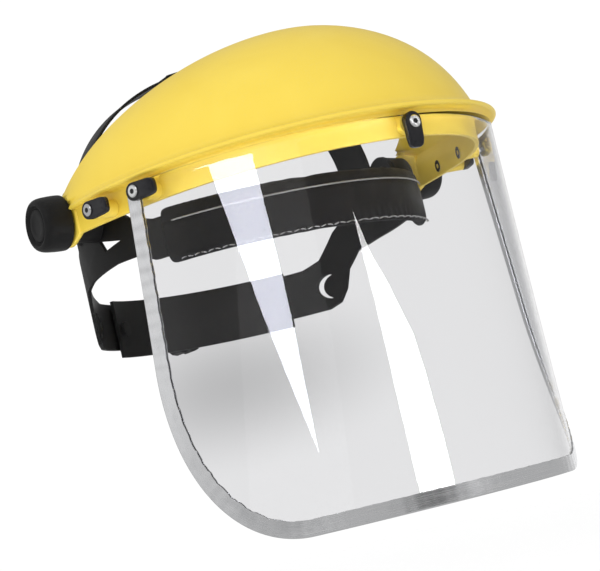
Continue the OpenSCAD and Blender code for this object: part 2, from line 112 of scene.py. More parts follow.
def makePiece(name, points, faces, material, body, replaces=(), uv=None, sharp=35):
    # A mesh piece from points in millimetres, smooth but for edges sharper than an angle.
    mesh = bpy.data.meshes.new(name)
    flat = np.asarray(points, float).reshape(-1, 3) * mm
    mesh.from_pydata(flat.tolist(), [], [list(map(int, face)) for face in faces])
    mesh.validate()
    if uv is not None:
        layer = mesh.uv_layers.new(name="along")
        index = np.empty(len(mesh.loops), int)
        mesh.loops.foreach_get("vertex_index", index)
        layer.data.foreach_set("uv", np.asarray(uv, float).reshape(-1, 2)[index].ravel())
    mesh.shade_smooth()
    mesh.set_sharp_from_angle(angle=math.radians(sharp))
    mesh.materials.append(material)
    obj = addObject(name, mesh)
    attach(obj, body)
    if replaces:
        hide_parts(*replaces)
    return obj


def finish(obj, kind, **settings):
    modifier = obj.modifiers.new(kind.title(), kind)
    for key, value in settings.items():
        setattr(modifier, key, value)
    return modifier


def unit(v):
    return v / np.maximum(np.linalg.norm(v, axis=-1, keepdims=True), 1e-9)


# The curves that every yellow and clear piece follows.
shell = {
    "halfWidth": 107.3, "reach": 157.3, "centre": -9.8, "roundness": 2.08,
    "flare": 5.1, "flareFrom": 68, "bottom": -9.4, "wall": 2.5,
    "lip": 12.4, "baseOut": 2.5, "baseZ": 9,
    "foot": (109.2, 2.7, 14), "crown": 71, "opening": 81.5,
    "lugIn": 109.4, "lugOut": 112.4, "lugR": 13.6, "lugRoot": (-15, -13), "knobRoom": 15.6,
    "taper": 0.78, "steps": 301,
}
sheet = {
    "width": 305, "height": 192, "thick": 1, "corner": 66, "cornerHeight": 93, "top": 0.031, "guideZ": 6.6,
    "guideTop": (115.8, 145.5, -16.8, 2.08), "guideBottom": (141.4, 163.5, 13.1, 2),
}
posts = {"z": -4.2, "rear": 77.2, "front": 64, "sideRoom": 11.8, "centreRoom": 5.3}


def signedPower(v, power):
    return np.sign(v) * np.abs(v) ** power


def loopPoint(loop, angle, offset=0.0):
    # A superellipse in the XY plane, by angle from the front: half width, depth, centre y, roundness.
    a = np.radians(angle)
    x = (loop[0] + offset) * signedPower(np.sin(a), 2 / loop[3])
    y = loop[2] - (loop[1] + offset) * signedPower(np.cos(a), 2 / loop[3])
    return np.stack(np.broadcast_arrays(x, y), -1)


def bandPoint(angle, offset=0.0):
    # The band's loop, opening towards the pivot lugs by the square of the way past an angle.
    loop = (shell["halfWidth"], shell["reach"] + shell["centre"], shell["centre"], shell["roundness"])
    p = loopPoint(loop, angle, offset)
    past = np.maximum(0, (np.abs(angle) - shell["flareFrom"]) / (90 - shell["flareFrom"]))
    p[..., 0] += np.sign(angle) * shell["flare"] * past**2
    return p


def postFrame(angle):
    # Where a turn button's post stands: place, outward direction, direction round the band.
    p = bandPoint(np.array(float(angle)))
    t = bandPoint(np.array(angle + 0.5)) - bandPoint(np.array(angle - 0.5))
    t = t / np.linalg.norm(t)
    return (np.array((p[0], p[1], posts["z"])), np.array((t[1], -t[0], 0.0)), np.array((t[0], t[1], 0.0)))


lengthAngles = np.linspace(0, 90, 721)


def lengthTable(loop):
    p = loopPoint(loop, lengthAngles)
    return np.concatenate([[0], np.cumsum(np.linalg.norm(np.diff(p, axis=0), axis=1))])


topLengths = lengthTable(sheet["guideTop"])
bottomLengths = lengthTable(sheet["guideBottom"])


def along(loop, lengths, s, offset):
    return loopPoint(loop, np.sign(s) * np.interp(np.abs(s), lengths, lengthAngles), offset)


def sheetPoint(s, v, offset=0.0):
    # The clear sheet is ruled between two loops: s is the length round it, v runs from 0 at the top to 1.
    a = along(sheet["guideTop"], topLengths, s, offset)
    b = along(sheet["guideBottom"], bottomLengths, s, offset)
    drop = np.sqrt(sheet["height"] ** 2 - np.sum((b - a) ** 2, -1))
    level = a + (b - a) * np.asarray(v)[..., None]
    return np.concatenate([level, (sheet["guideZ"] - drop * v)[..., None]], -1)


def sheetLow(s):
    # The lower edge, with a quarter of an ellipse at each corner.
    past = np.maximum(0, np.abs(s) - (sheet["width"] / 2 - sheet["corner"])) / sheet["corner"]
    lift = sheet["cornerHeight"] * (1 - np.sqrt(np.maximum(0, 1 - past**2)))
    return 1 - lift / sheet["height"]


# Shader groups.


def newGroup(name, inputs, outputs):
    tree = bpy.data.node_groups.new(name, "ShaderNodeTree")
    for label, kind, value in inputs:
        socket = tree.interface.new_socket(label, in_out="INPUT", socket_type=kind)
        socket.default_value = value
    for label, kind in outputs:
        tree.interface.new_socket(label, in_out="OUTPUT", socket_type=kind)
    return tree, tree.nodes.new("NodeGroupInput"), tree.nodes.new("NodeGroupOutput")


def addNode(tree, kind, inputs=None, **settings):
    node = tree.nodes.new(kind)
    for key, value in settings.items():
        setattr(node, key, value)
    for key, value in (inputs or {}).items():
        if isinstance(value, bpy.types.NodeSocket):
            tree.links.new(value, node.inputs[key])
        else:
            node.inputs[key].default_value = value
    return node


def objectSpace(tree):
    return addNode(tree, "ShaderNodeTexCoord").outputs["Object"]


def addNoise(tree, place, scale, detail, **inputs):
    given = {"Vector": place, "Scale": scale, "Detail": detail, **inputs}
    return addNode(tree, "ShaderNodeTexNoise", given).outputs[0]


def addMath(tree, operation, a, b, clamp=False):
    node = addNode(tree, "ShaderNodeMath", {0: a, 1: b}, operation=operation, use_clamp=clamp)
    return node.outputs[0]


def addRange(tree, value, low, high, toLow=0.0, toHigh=1.0):
    node = addNode(tree, "ShaderNodeMapRange", {
        "Value": value, "From Min": low, "From Max": high, "To Min": toLow, "To Max": toHigh})
    return node.outputs["Result"]


def mixColour(tree, mask, a, b, blend="MIX"):
    node = addNode(tree, "ShaderNodeMix", data_type="RGBA", blend_type=blend)
    for socket, value in zip((node.inputs[0], node.inputs[6], node.inputs[7]), (mask, a, b)):
        if isinstance(value, bpy.types.NodeSocket):
            tree.links.new(value, socket)
        else:
            socket.default_value = value
    return node.outputs[2]


def grainGroup():
    # Moulding grain: two sizes of noise added, as a height.
    tree, given, out = newGroup(
        "mouldingGrain",
        [("Fine Scale", "NodeSocketFloat", 2600), ("Broad Scale", "NodeSocketFloat", 160),
         ("Broad Share", "NodeSocketFloat", 0.3)],
        [("Height", "NodeSocketFloat")],
    )
    place = objectSpace(tree)
    fine = addNoise(tree, place, given.outputs["Fine Scale"], 3.0, Roughness=0.6)
    broad = addNoise(tree, place, given.outputs["Broad Scale"], 2.0)
    share = addMath(tree, "MULTIPLY", broad, given.outputs["Broad Share"])
    tree.links.new(addMath(tree, "ADD", fine, share), out.inputs["Height"])
    return tree


def edgeGroup():
    # Edge wear: where the rounded normal leaves the true one, broken up by noise.
    tree, given, out = newGroup(
        "edgeWear",
        [("Radius", "NodeSocketFloat", 0.0006), ("Break Up", "NodeSocketFloat", 700)],
        [("Mask", "NodeSocketFloat")],
    )
    soft = addNode(tree, "ShaderNodeBevel", {"Radius": given.outputs["Radius"]}, samples=4)
    true = addNode(tree, "ShaderNodeNewGeometry")
    dot = addNode(tree, "ShaderNodeVectorMath", {
        0: soft.outputs[0], 1: true.outputs["Normal"]}, operation="DOT_PRODUCT")
    edge = addRange(tree, dot.outputs["Value"], 0.995, 0.86)
    place = objectSpace(tree)
    broken = addRange(tree, addNoise(tree, place, given.outputs["Break Up"], 4.0), 0.35, 0.7)
    tree.links.new(addMath(tree, "MULTIPLY", edge, broken, clamp=True), out.inputs["Mask"])
    return tree


def handlingGroup():
    # Handling marks: soft blotches and thin dust that lies on faces turned upwards.
    tree, given, out = newGroup(
        "handlingMarks",
        [("Blotch Scale", "NodeSocketFloat", 45), ("Dust Scale", "NodeSocketFloat", 900)],
        [("Blotch", "NodeSocketFloat"), ("Dust", "NodeSocketFloat")],
    )
    place = objectSpace(tree)
    blotch = addNoise(tree, place, given.outputs["Blotch Scale"], 5.0, Distortion=0.6)
    specks = addNoise(tree, place, given.outputs["Dust Scale"], 2.0)
    normal = addNode(tree, "ShaderNodeNewGeometry").outputs["Normal"]
    facing = addNode(tree, "ShaderNodeSeparateXYZ", {0: normal})
    top = addRange(tree, facing.outputs["Z"], 0.1, 1.0)
    dust = addMath(tree, "MULTIPLY", addRange(tree, specks, 0.56, 0.72), top, clamp=True)
    tree.links.new(addRange(tree, blotch, 0.3, 0.7), out.inputs["Blotch"])
    tree.links.new(dust, out.inputs["Dust"])
    return tree


groups = {"grain": grainGroup(), "edge": edgeGroup(), "marks": handlingGroup()}


def useGroup(tree, name, **values):
    node = tree.nodes.new("ShaderNodeGroup")
    node.node_tree = groups[name]
    for key, value in values.items():
        node.inputs[key.replace("_", " ")].default_value = value
    return node


def newMaterial(name):
    material = bpy.data.materials.new(name)
    material.use_nodes = True
    tree = material.node_tree
    return material, tree, tree.nodes["Principled BSDF"]


def addBump(tree, shader, height, distance):
    bump = addNode(tree, "ShaderNodeBump", {"Height": height, "Distance": distance})
    tree.links.new(bump.outputs[0], shader.inputs["Normal"])


def colour(*rgb):
    return (*rgb, 1.0)


dustTone = (0.6, 0.58, 0.54)


def mouldedPlastic(name, look):
    # Moulded plastic: a base and a deeper colour in soft blotches, worn edges, dust, and a fine grain.
    material, tree, shader = newMaterial(name)
    marks = useGroup(tree, "marks", Blotch_Scale=look["blotch"])
    edge = useGroup(tree, "edge", Radius=look["edgeRadius"])
    grain = useGroup(tree, "grain", Fine_Scale=look["grainScale"], Broad_Scale=look["waveScale"],
                     Broad_Share=look["waveShare"])
    base = mixColour(tree, marks.outputs["Blotch"], colour(*look["base"]), colour(*look["deep"]))
    wear = addMath(tree, "MULTIPLY", edge.outputs["Mask"], look["wear"])
    worn = mixColour(tree, wear, base, colour(*look["worn"]))
    dust = addMath(tree, "MULTIPLY", marks.outputs["Dust"], look["dust"])
    dusty = mixColour(tree, dust, worn, colour(*dustTone))
    tree.links.new(dusty, shader.inputs["Base Color"])
    rough = addRange(tree, marks.outputs["Blotch"], 0, 1, *look["rough"])
    rougher = addMath(tree, "ADD", rough, addMath(tree, "MULTIPLY", marks.outputs["Dust"], 0.2))
    tree.links.new(rougher, shader.inputs["Roughness"])
    shader.inputs["Specular IOR Level"].default_value = look["gloss"]
    addBump(tree, shader, grain.outputs["Height"], look["grainHeight"])
    return material


finishes = {
    "yellowShell": {
        "base": (0.82, 0.615, 0.078), "deep": (0.79, 0.58, 0.062), "worn": (0.93, 0.78, 0.34),
        "blotch": 22, "edgeRadius": 0.0007, "gloss": 0.5, "wear": 0.35, "dust": 0.1, "rough": (0.36, 0.44),
        "grainScale": 2400, "waveScale": 90, "waveShare": 1.2, "grainHeight": 0.00003,
    },
    "blackPlastic": {
        "base": (0.008, 0.008, 0.0085), "deep": (0.011, 0.011, 0.011), "worn": (0.07, 0.07, 0.075),
        "blotch": 60, "edgeRadius": 0.0005, "gloss": 0.18, "wear": 0.4, "dust": 0.02, "rough": (0.4, 0.52),
        "grainScale": 2200, "waveScale": 140, "waveShare": 0.6, "grainHeight": 0.00004,
    },
    "knobPlastic": {
        "base": (0.008, 0.008, 0.0085), "deep": (0.011, 0.011, 0.011), "worn": (0.06, 0.06, 0.062),
        "blotch": 90, "edgeRadius": 0.0006, "gloss": 0.18, "wear": 0.35, "dust": 0.03, "rough": (0.34, 0.46),
        "grainScale": 1900, "waveScale": 200, "waveShare": 0.5, "grainHeight": 0.00004,
    },
    "buttonPlastic": {
        "base": (0.006, 0.006, 0.008), "deep": (0.010, 0.010, 0.012), "worn": (0.08, 0.08, 0.085),
        "blotch": 160, "edgeRadius": 0.0004, "gloss": 0.5, "wear": 0.35, "dust": 0.04, "rough": (0.12, 0.2),
        "grainScale": 3000, "waveScale": 300, "waveShare": 0.8, "grainHeight": 0.00001,
    },
}
plastics = {name: mouldedPlastic(name, look) for name, look in finishes.items()}


def metalFinish(name, look):
    # Bare metal: streaks stretched along one direction, small dents with dull stains, and edges rubbed paler.
    material, tree, shader = newMaterial(name)
    objectPlace = objectSpace(tree)
    place = objectPlace
    if look["alongUv"]:
        place = addNode(tree, "ShaderNodeUVMap", uv_map="along").outputs["UV"]
    stretch = addNode(tree, "ShaderNodeMapping", {"Vector": place, "Scale": look["streak"]})
    streaks = addNoise(tree, stretch.outputs[0], 1.0, 5.0)
    dents = addNoise(tree, objectPlace, look["dentScale"], 2.0)
    edge = useGroup(tree, "edge", Radius=0.0004)
    streaky = addRange(tree, streaks, 0.3, 0.7)
    tone = mixColour(tree, streaky, colour(*look["base"]), colour(*look["pale"]))
    stained = addRange(tree, dents, 0.55, 0.8, 0, look["stain"])
    dull = mixColour(tree, stained, tone, colour(*look["dull"]))
    rubbed = addMath(tree, "MULTIPLY", edge.outputs["Mask"], 0.5)
    bright = mixColour(tree, rubbed, dull, colour(0.9, 0.9, 0.91))
    tree.links.new(bright, shader.inputs["Base Color"])
    rough = addRange(tree, streaks, 0.25, 0.75, *look["rough"])
    tree.links.new(rough, shader.inputs["Roughness"])
    shader.inputs["Metallic"].default_value = 1.0
    height = addMath(tree, "ADD", addMath(tree, "MULTIPLY", streaks, 0.12), dents)
    addBump(tree, shader, height, look["dentHeight"])
    return material


metalLooks = {
    "edgeMetal": {
        "base": (0.88, 0.89, 0.91), "pale": (0.96, 0.96, 0.97), "dull": (0.62, 0.63, 0.65), "stain": 0.35,
        "streak": (30, 2200, 1), "dentScale": 95, "rough": (0.2, 0.32), "dentHeight": 0.00015,
        "alongUv": True,
    },
    "brightRivet": {
        "base": (0.86, 0.87, 0.88), "pale": (0.93, 0.93, 0.93), "dull": (0.6, 0.6, 0.6), "stain": 0.2,
        "streak": (900, 900, 900), "dentScale": 500, "rough": (0.08, 0.16), "dentHeight": 0.00005,
        "alongUv": False,
    },
    "steel": {
        "base": (0.42, 0.43, 0.45), "pale": (0.55, 0.56, 0.58), "dull": (0.3, 0.29, 0.28), "stain": 0.4,
        "streak": (400, 400, 2500), "dentScale": 260, "rough": (0.28, 0.42), "dentHeight": 0.0001,
        "alongUv": False,
    },
    "brass": {
        "base": (0.72, 0.50, 0.19), "pale": (0.80, 0.60, 0.27), "dull": (0.45, 0.30, 0.12), "stain": 0.5,
        "streak": (500, 500, 2000), "dentScale": 300, "rough": (0.25, 0.4), "dentHeight": 0.0001,
        "alongUv": False,
    },
}
metals = {name: metalFinish(name, look) for name, look in metalLooks.items()}

clearLook = {"tint": (0.775, 0.775, 0.785), "ior": 1.28, "rough": (0.0, 0.02), "shadow": (0.93, 0.93, 0.94)}


def clearPlastic(look):
    # Clear sheet: an even tint, faint wipe haze in the gloss, and light let straight through in shadows.
    material, tree, shader = newMaterial("clearSheet")
    marks = useGroup(tree, "marks", Blotch_Scale=18)
    shader.inputs["Base Color"].default_value = colour(*look["tint"])
    shader.inputs["Transmission Weight"].default_value = 1.0
    shader.inputs["IOR"].default_value = look["ior"]
    rough = addRange(tree, marks.outputs["Blotch"], 0.2, 1, *look["rough"])
    tree.links.new(rough, shader.inputs["Roughness"])
    out = tree.nodes["Material Output"]
    path = addNode(tree, "ShaderNodeLightPath")
    through = addNode(tree, "ShaderNodeBsdfTransparent", {"Color": colour(*look["shadow"])})
    mix = addNode(tree, "ShaderNodeMixShader", {0: path.outputs["Is Shadow Ray"]})
    tree.links.new(shader.outputs[0], mix.inputs[1])
    tree.links.new(through.outputs[0], mix.inputs[2])
    tree.links.new(mix.outputs[0], out.inputs["Surface"])
    return material


clearSheet = clearPlastic(clearLook)

padLook = {
    "base": (0.007, 0.007, 0.008), "raised": (0.012, 0.012, 0.013), "grain": 620.0, "rough": (0.42, 0.6),
    "warpScale": 400.0, "height": 0.00012,
}


def leatherette(look):
    # Leatherette: cells bent by squared noise, with fine creases, a little paler where they stand proud.
    material, tree, shader = newMaterial("padLeatherette")
    place = objectSpace(tree)
    warp = addNode(tree, "ShaderNodeTexNoise", {"Vector": place, "Scale": look["warpScale"], "Detail": 2.0})
    shifted = addNode(tree, "ShaderNodeVectorMath", {
        0: warp.outputs["Color"], 1: warp.outputs["Color"], 2: place}, operation="MULTIPLY_ADD")
    cells = addNode(tree, "ShaderNodeTexVoronoi", {
        "Vector": shifted.outputs[0], "Scale": look["grain"]}, feature="DISTANCE_TO_EDGE")
    pebble = addRange(tree, cells.outputs["Distance"], 0.02, 0.25)
    marks = useGroup(tree, "marks", Blotch_Scale=70)
    tone = mixColour(tree, pebble, colour(*look["base"]), colour(*look["raised"]))
    dust = addMath(tree, "MULTIPLY", marks.outputs["Dust"], 0.03)
    dusty = mixColour(tree, dust, tone, colour(0.5, 0.48, 0.46))
    tree.links.new(dusty, shader.inputs["Base Color"])
    shader.inputs["Specular IOR Level"].default_value = 0.25
    rough = addRange(tree, marks.outputs["Blotch"], 0, 1, *look["rough"])
    tree.links.new(rough, shader.inputs["Roughness"])
    addBump(tree, shader, pebble, look["height"])
    return material


padLeatherette = leatherette(padLook)


def threadFinish(name, tone):
    # Twisted thread: slanting strands as light and dark bands.
    material, tree, shader = newMaterial(name)
    place = objectSpace(tree)
    strands = addNode(tree, "ShaderNodeTexWave", {"Vector": place, "Scale": 900.0, "Distortion": 1.5})
    shade = mixColour(tree, strands.outputs["Fac"], colour(*[0.6 * c for c in tone]), colour(*tone))
    tree.links.new(shade, shader.inputs["Base Color"])
    shader.inputs["Roughness"].default_value = 0.6
    addBump(tree, shader, strands.outputs["Fac"], 0.00008)
    return material


paleThread = threadFinish("paleThread", (0.42, 0.42, 0.43))
print("materials made")

# Browguard.


def roundCorners(profile, cuts, steps=5):
    # Each marked corner of a closed profile becomes a parabola between points a cut away on both sides.
    rows = []
    t = np.linspace(0, 1, steps)[:, None, None]
    count = profile.shape[1]
    for k in range(count):
        p, before, after = profile[:, k], profile[:, k - 1], profile[:, (k + 1) % count]
        if cuts[k] == 0:
            rows.append(p[:, None])
            continue
        reachBack = np.minimum(cuts[k], 0.45 * np.linalg.norm(before - p, axis=-1, keepdims=True))
        reachOn = np.minimum(cuts[k], 0.45 * np.linalg.norm(after - p, axis=-1, keepdims=True))
        a, b = p + unit(before - p) * reachBack, p + unit(after - p) * reachOn
        rows.append(np.moveaxis((1 - t) ** 2 * a + 2 * t * (1 - t) * p + t**2 * b, 0, 1))
    return np.concatenate(rows, axis=1)


def smoothProfile(points, cuts):
    # A flat outline with its corners rounded.
    flat = np.array([[(*p, 0.0) for p in points]])
    return roundCorners(flat, cuts, 6)[0, :, :2]


def domeCurve(angle, offset, inset, steps=26):
    # From the band up to the crown's rear edge: a parabola in each upright section.
    a = np.radians(angle)
    foot, c, s = shell["foot"], np.cos(a), np.sin(a)
    base = np.concatenate([bandPoint(angle, offset), np.full((len(angle), 1), float(shell["baseZ"]))], -1)
    edge = np.stack([
        (foot[0] - inset) * signedPower(s, 1.114),
        foot[1] - (foot[1] + shell["opening"]) * c**1.032,
        foot[2] + (shell["crown"] - foot[2]) * c**1.114 - inset * c], -1)
    mid = base + (edge - base) * np.array((0.28, 0.28, 0.872))
    u = np.linspace(0, 1, steps)[None, :, None]
    return (1 - u) ** 2 * base[:, None] + 2 * u * (1 - u) * mid[:, None] + u**2 * edge[:, None]


def bandRing(angle, out, z):
    p = bandPoint(angle, out)
    return np.concatenate([p, np.broadcast_to(np.asarray(z, float), angle.shape)[:, None]], -1)


def lugOutline():
    turn = np.linspace(0, 2 * np.pi, 96, endpoint=False)
    circle = shell["lugR"] * np.stack([np.cos(turn), np.sin(turn)], -1)
    corners = [(y, z) for y in shell["lugRoot"] for z in (shell["bottom"], shell["baseZ"])]
    points = circle.tolist() + corners
    return np.array([points[k] for k in convex_hull_2d(points)])


def plateRings(outline, layers):
    # Rings of an outline, each drawn in by an inset and set at a height, and which way round it runs.
    onward = np.roll(outline, -1, 0)
    run = unit(onward - np.roll(outline, 1, 0))
    sense = np.sign(np.sum(outline[:, 0] * onward[:, 1] - outline[:, 1] * onward[:, 0]))
    outward = np.stack([run[:, 1], -run[:, 0]], -1) * sense
    level = np.ones((len(outline), 1))
    rings = [np.concatenate([outline - outward * inset, level * height], -1) for inset, height in layers]
    return np.array(rings), sense


def plateSolid(outline, layers):
    # A plate closed above and below by fans of triangles round its middle.
    rings, sense = plateRings(outline, layers)
    count, around = rings.shape[:2]
    faces = gridFaces(count, around, closeColumns=True, flip=sense < 0).tolist()
    middle = outline.mean(0)
    points = np.concatenate([rings.reshape(-1, 3), [[*middle, layers[0][1]], [*middle, layers[-1][1]]]])
    low, high = fanFaces(count, around)
    if sense < 0:
        low, high = low[:, ::-1], high[:, ::-1]
    return points, faces + low.tolist() + high.tolist()


def shellWall():
    # The moulding as one closed profile carried round the band: band, lip and dome outside, then back inside.
    angle = np.linspace(-90, 90, shell["steps"])
    reach = shell["lip"] * (1 - shell["taper"] * (np.abs(angle) / 90) ** 8)
    bottom, wall = shell["bottom"], shell["wall"]
    steps = [(0, bottom), (0, -4), (0, 2.6), (1.2, 3.8), (reach - 1.6, 3.0), (reach, 3.8), (reach - 0.6, 5.2),
             (reach * 0.5, 6.6)]
    outer = [bandRing(angle, out, z) for out, z in steps]
    cuts = [0.5, 0, 1.6, 1.6, 1.0, 0.7, 1.0, 2.5]
    dome = domeCurve(angle, shell["baseOut"], 0)
    inner = domeCurve(angle, shell["baseOut"] - wall, wall)[:, ::-1]
    lower = [bandRing(angle, -wall, z) for z in (4, -2, bottom)]
    profile = np.concatenate([np.stack(outer, 1), dome, inner, np.stack(lower, 1)], 1)
    cuts += [2.5] + [0] * (dome.shape[1] - 2) + [0.7, 0.7] + [0] * (inner.shape[1] - 2) + [1.5, 0, 0, 0.5]
    ring = roundCorners(profile, cuts)
    # Beside each pivot the wall keeps within the lug, so that the knob and the hub turn clear of it.
    near = np.hypot(ring[..., 1], ring[..., 2]) < shell["knobRoom"]
    x = np.abs(ring[..., 0])
    kept = np.clip(x, shell["lugIn"] + 0.05, shell["lugOut"] - 0.05)
    ring[..., 0] = np.sign(ring[..., 0]) * np.where(near, kept, x)
    count, around = ring.shape[:2]
    return ring, gridFaces(count, around, closeColumns=True, flip=True).tolist() + tubeCaps(count, around)


def lugPart(side):
    thick = shell["lugOut"] - shell["lugIn"]
    lower = [(4, 0), (0.8, 0), (0.25, 0.2), (0, 0.7)]
    layers = lower + [(inset, thick - height) for inset, height in lower[::-1]]
    points, faces = plateSolid(lugOutline(), layers)
    placed = np.stack([side * (shell["lugIn"] + points[:, 2]), points[:, 0], points[:, 1]], -1)
    if side < 0:
        faces = [face[::-1] for face in faces]
    return placed, faces


browPoints, browFaces = joinParts(shellWall(), lugPart(-1), lugPart(1))
makePiece("browguardShell", browPoints, browFaces, plastics["yellowShell"], "crown",
          replaces=["browguard"], sharp=50)
print("browguard made")

# Clear sheet and its metal edge.

sheetSteps = {"middle": 180, "corner": 60, "down": 48}


def clearGrid():
    # The whole sheet as a grid: lengths round it by rows down it, each row ending on the cut edge.
    start = sheet["width"] / 2 - sheet["corner"]
    bend = np.sin(np.linspace(0, 1, sheetSteps["corner"]) * np.pi / 2)
    middle = np.linspace(-start, start, sheetSteps["middle"])
    s = np.concatenate([-start - sheet["corner"] * bend[:0:-1], middle, start + sheet["corner"] * bend[1:]])
    t = np.linspace(0, 1, sheetSteps["down"])
    low = sheetLow(s)
    v = sheet["top"] + (low - sheet["top"])[:, None] * t
    grid = sheetPoint(np.broadcast_to(s[:, None], v.shape), v)
    return grid, s, v


sheetGrid, sheetS, sheetV = clearGrid()
sheetUv = np.stack(np.broadcast_arrays(sheetS[:, None] * mm, sheetV * sheet["height"] * mm), -1)
visorPiece = makePiece("clearVisor", sheetGrid, gridFaces(*sheetGrid.shape[:2]), clearSheet, "crown",
                       replaces=["visor"], uv=sheetUv, sharp=60)
finish(visorPiece, "SOLIDIFY", thickness=sheet["thick"] * mm, offset=0.0, use_even_offset=True)

binding = {
    "reach": 7.4, "past": 0.8, "room": 0.6, "skin": 0.55, "wave": 0.22, "dent": 0.10,
    "sideSteps": 90, "bottomSteps": 120,
}


def edgePath():
    # Down one side of the sheet, round the bottom with its two corners, and up the other side.
    half, start = sheet["width"] / 2, sheet["width"] / 2 - sheet["corner"]
    top, low = sheet["top"] + 0.006, sheetLow(np.array([half]))[0]
    side = np.linspace(top, low, binding["sideSteps"], endpoint=False)
    bend = sheet["corner"] * np.sin(np.linspace(0, 1, sheetSteps["corner"]) * np.pi / 2)
    level = np.linspace(-start, start, binding["bottomSteps"])[1:-1]
    upright = np.full(len(side), half)
    s = np.concatenate([-upright, -start - bend[::-1], level, start + bend, upright])
    v = np.concatenate([side, sheetLow(s[len(side):-len(side)]), side[::-1]])
    return s, v


def bindingGrid():
    # A folded channel carried along the sheet's edge, its legs pressed flat, with slight waves from folding.
    s, v = edgePath()
    p = sheetPoint(s, v)
    run = unit(np.gradient(p, axis=0))
    face = unit(sheetPoint(s, v, 1.0) - p)
    level = unit(face - run * np.sum(face * run, -1, keepdims=True))
    out = np.cross(run, level)
    length = np.concatenate([[0], np.cumsum(np.linalg.norm(np.diff(p, axis=0), axis=1))])
    reach, past, room, skin = (binding[k] for k in ("reach", "past", "room", "skin"))
    outer = room + skin
    turn = np.radians(np.linspace(-90, 90, 13))
    fold = outer * 0.6
    leg = np.linspace(-reach, past - fold, 9)
    outside = np.concatenate([
        np.stack([leg, np.full(len(leg), -outer)], -1),
        np.stack([past - fold + fold * np.cos(turn), outer * np.sin(turn)], -1),
        np.stack([leg[::-1], np.full(len(leg), outer)], -1)])
    near = np.array([(-reach, room), (-reach * 0.5, room), (0.1, room)])
    inside = np.concatenate([near, near[::-1] * (1, -1)])
    section = np.concatenate([outside, inside])
    # The inner lip of each leg wanders a little, most of all where the strip goes round the corners.
    bent = np.exp(-((np.abs(s) - (sheet["width"] / 2 - sheet["corner"] * 0.4)) / 26) ** 2)
    wander = binding["wave"] * (0.35 + 1.1 * bent) * (np.sin(length * 0.53) + 0.6 * np.sin(length * 1.31 + 1.2))
    free = (section[:, 0] < -reach + 0.01).astype(float)
    across = section[None, :, 0] + wander[:, None] * free[None, :]
    outermost = np.abs(section[:, 1]) > outer - 0.01
    dent = (binding["dent"] * (0.3 + bent) * np.sin(length * 0.9))[:, None] * outermost[None, :]
    through = section[None, :, 1] + dent * np.sign(section[:, 1])[None, :]
    points = p[:, None] + out[:, None] * across[..., None] + level[:, None] * through[..., None]
    around = np.concatenate([[0], np.cumsum(np.linalg.norm(np.diff(section, axis=0), axis=1))])
    uv = np.stack(np.broadcast_arrays(length[:, None] * mm, around[None, :] * mm), -1)
    return points, uv


bindPoints, bindUv = bindingGrid()
bindShape = bindPoints.shape[:2]
bindFaces = gridFaces(*bindShape, closeColumns=True, flip=True).tolist() + tubeCaps(*bindShape)
makePiece("metalEdge", bindPoints, bindFaces, metals["edgeMetal"], "crown",
          replaces=["visor_binding"], uv=bindUv, sharp=40)
print("visor and edging made")

# Turn buttons.

button = {
    "head": 4.6, "back": 5.4, "reach": 12.4, "thick": 4.4, "waist": 4.3, "slopeFrom": 5, "slope": 0.25,
    "round": 0.9, "tip": 2.2,
}


def buttonOutline():
    # A round head running into a lever that narrows a little, with rounded corners at its tip.
    turn = np.radians(np.linspace(90, 270, 33))
    head = button["head"] * np.stack([np.cos(turn), np.sin(turn)], -1)
    head[:, 0] += button["head"] - button["back"]
    reach, neck = button["reach"], button["head"] - 0.8
    near = [(reach - 4, -button["waist"]), (reach - 1, -neck), (reach, -button["tip"])]
    tip = near + [(x, -y) for x, y in near[::-1]]
    return np.concatenate([head, smoothProfile(tip, [0, 2.0, 1.6, 1.6, 2.0, 0])])


def buttonPiece(name, angle, room, point):
    # A lever on the post at an angle round the band, turned from straight down by the angle it points.
    place, outward, around = postFrame(angle)
    down = np.array((0.0, 0.0, -1.0))
    turn = math.radians(point)
    edge, thick = button["round"], button["thick"]
    bend = np.radians(np.linspace(0, 90, 6))
    low = [(edge * (1 - math.sin(b)), edge * (1 - math.cos(b))) for b in bend]
    high = [(inset, thick - height) for inset, height in low[::-1]]
    points, faces = plateSolid(buttonOutline(), [(3.0, 0)] + low + high + [(3.0, thick)])
    lowered = np.maximum(0, points[:, 0] - button["slopeFrom"]) * button["slope"]
    points[:, 2] -= lowered * points[:, 2] / thick
    side = np.cross(outward, down)
    lever = down * math.cos(turn) + side * math.sin(turn)
    across = np.cross(outward, lever)
    world = place + outward * (room + points[:, 2:3]) + lever * points[:, 0:1] + across * points[:, 1:2]
    makePiece(name + "Lever", world, faces, plastics["buttonPlastic"], name,
              replaces=[name], sharp=60)


buttonPiece("centre_button", 0, posts["centreRoom"], 0)
for row in ("front", "rear"):
    for sense, side in ((-1, "right"), (1, "left")):
        buttonPiece(f"{side}_{row}_button", sense * posts[row], posts["sideRoom"], -90 * sense)
print("buttons made")

# Side knobs.

knob = {"in": 113.3, "r": 14.8, "depth": 16, "cap": 9.4, "segments": 160}


def lathe(profile, count):
    # A profile of (radius, height) turned round the Z axis, closed in a point at both ends.
    turn = np.linspace(0, 2 * np.pi, count, endpoint=False)
    profile = np.asarray(profile, float)
    r, z = profile[:, 0:1], profile[:, 1:2]
    grid = np.stack(np.broadcast_arrays(r * np.cos(turn), r * np.sin(turn), z), -1)
    body = grid[1:-1]
    low, high = fanFaces(*body.shape[:2])
    points = np.concatenate([body.reshape(-1, 3), grid[:1, 0], grid[-1:, 0]])
    return points, gridFaces(*body.shape[:2], closeColumns=True).tolist() + low.tolist() + high.tolist()


